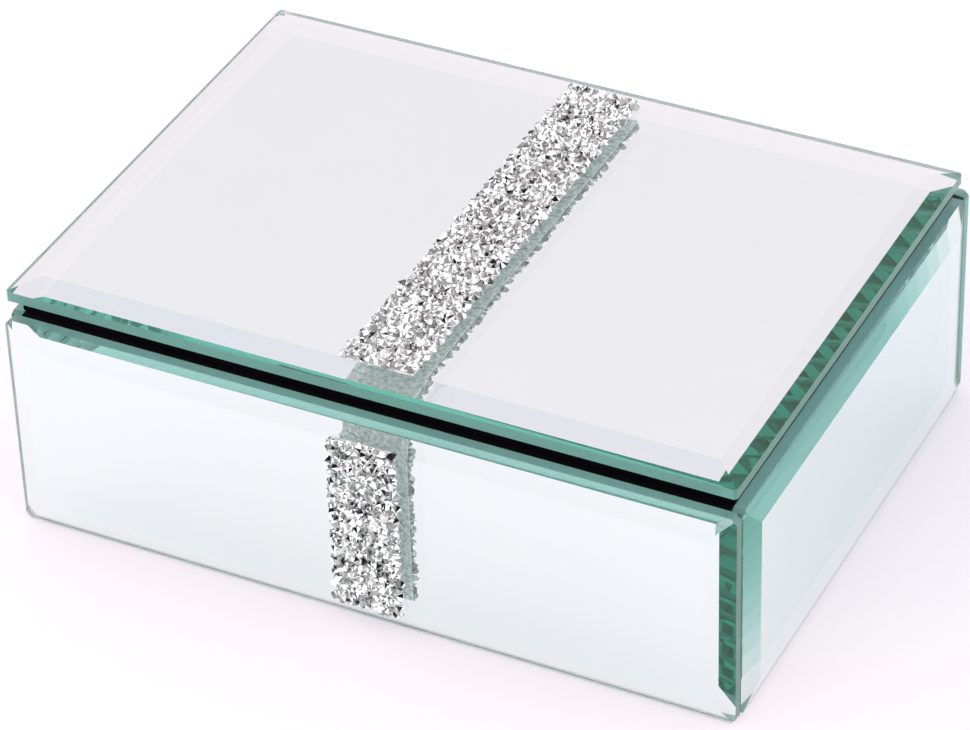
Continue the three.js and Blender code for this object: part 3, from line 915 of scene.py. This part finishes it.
for place_name, body, outward, strip_seed, least_flash in (
    ("lid", "lid", Vector((0, 0, 1)), 5, 0.06), ("front", "box", Vector((0, -1, 0)), 8, 0.0),
):
    node = place_name + "_crystals"
    low, high = (Vector(corner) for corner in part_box(node))
    middle = (low + high) / 2
    bed_low, bed_high = low.copy(), high.copy()
    if body == "lid":
        length = high.y - low.y
        placed = Matrix.Translation((middle.x, middle.y, low.z))
        bed_high.z = low.z + STRIP_BED
    else:
        length = high.z - low.z
        placed = Matrix.Translation((middle.x, high.y, middle.z)) @ standing
        bed_low.y = high.y - STRIP_BED
    width = high.x - low.x
    mesh = grow(
        place_name + "_stones", strip_tree, bpy.data.meshes.new(place_name + "_strip"),
        Width=width - 2 * STRIP_EDGE, Length=length - 2 * STRIP_EDGE,
        Columns=round(width / STONE_PITCH.x), Rows=round(length / STONE_PITCH.y),
        Stone_Radius=STONE_RADIUS, Stone_Height=STONE_HEIGHT, Filler_Radius=FILLER_RADIUS,
        Filler_Height=FILLER_HEIGHT, Girdle_Height=GIRDLE_HEIGHT, Pavilion_Depth=PAVILION_DEPTH,
        Seed=strip_seed, Least_Flash=least_flash,
    )
    mesh.transform(placed)
    stones = bpy.data.objects.new(place_name + "_stones", mesh)
    scene.collection.objects.link(stones)
    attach(stones, body)
    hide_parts(node)
    for axis in range(3):
        if abs(outward[axis]) < 0.5:
            bed_low[axis] += BED_INSET
            bed_high[axis] -= BED_INSET
    soft_pad(
        place_name + "_resin_bed", bed_low, bed_high, outward, 0.05 * MM, 0.3 * MM, 0.1 * MM,
        resin, body, "crystal", node,
    )
    eased_piece(
        place_name + "_strip_tape", place_name + "_crystal_tape", TAPE_EASE, tape, body,
    )


# Table and light. A plain pale table that glows like the paper of a light tent, white behind the
# box. To the right of the box it is dimmer: a painted shade that stands in for the soft shadow of
# light from the front left. The tent above it is brightest overhead and faintly warm.
TABLE_HALF_SIZE = 4.0

solid = bmesh.new()
bmesh.ops.create_grid(solid, x_segments=1, y_segments=1, size=TABLE_HALF_SIZE)
table = finish_mesh("table", solid)
table_paint, tree, shader = new_material("matt_white_table")
set_inputs(shader, Base_Color=linear("#D2D8D6"), Roughness=0.9, Specular_IOR_Level=0.0)
set_inputs(shader, Emission_Strength=1.0)
place = add_node(tree, "ShaderNodeTexCoord").outputs["Object"]
# Painted shade: the glow falls off towards the right and back of the box, as if the light came from
# the front left.
leftward = add_node(tree, "ShaderNodeVectorMath", {0: place}, operation="DOT_PRODUCT")
leftward.inputs[1].default_value = (-0.6, -0.8, 0)
painted_falloff = add_node(
    tree, "ShaderNodeMapRange", {"Value": leftward.outputs["Value"]},
    From_Min=-0.14, From_Max=0.03, interpolation_type="SMOOTHSTEP",
)
glow = add_node(tree, "ShaderNodeMix", {"Factor": painted_falloff.outputs["Result"]}, data_type="RGBA")
glow.inputs["A"].default_value = (0.36, 0.355, 0.40, 1.0)
glow.inputs["B"].default_value = (0.50, 0.445, 0.485, 1.0)
back = add_node(tree, "ShaderNodeSeparateXYZ", {"Vector": place}).outputs["Y"]
backdrop = add_node(
    tree, "ShaderNodeMapRange", {"Value": back}, From_Min=0.15, From_Max=0.23,
    interpolation_type="SMOOTHSTEP",
)
lit = add_node(
    tree, "ShaderNodeMix", {"Factor": backdrop.outputs["Result"], "A": glow.outputs["Result"]},
    data_type="RGBA",
)
lit.inputs["B"].default_value = (0.6, 0.6, 0.6, 1.0)
tree.links.new(lit.outputs["Result"], shader.inputs["Emission Color"])
table.data.materials.append(table_paint)
table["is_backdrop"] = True

world = bpy.data.worlds.new("tent")
scene.world = world
world.use_nodes = True
tree = world.node_tree
heading = add_node(tree, "ShaderNodeTexCoord").outputs["Generated"]
height = add_node(tree, "ShaderNodeSeparateXYZ", {"Vector": heading}).outputs["Z"]
sky = add_node(tree, "ShaderNodeValToRGB", {"Fac": height})
ramp = sky.color_ramp
ramp.elements[0].position = 0.30
ramp.elements[0].color = (0.955, 0.85, 0.94, 1.0)
ramp.elements[1].position = 0.42
ramp.elements[1].color = (0.985, 0.865, 0.945, 1.0)
ramp.elements.new(0.59).color = (1.027, 0.905, 0.95, 1.0)
ramp.elements.new(0.75).color = (1.083, 0.945, 0.995, 1.0)
tree.links.new(sky.outputs["Color"], tree.nodes["Background"].inputs["Color"])

scene.view_settings.view_transform = "Standard"
TRAPPED_BOUNCES = 144            # light shut in a bevelled plate meets its faces this often
for kind in ("max_bounces", "glossy_bounces", "transmission_bounces"):
    setattr(scene.cycles, kind, TRAPPED_BOUNCES)

low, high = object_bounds()
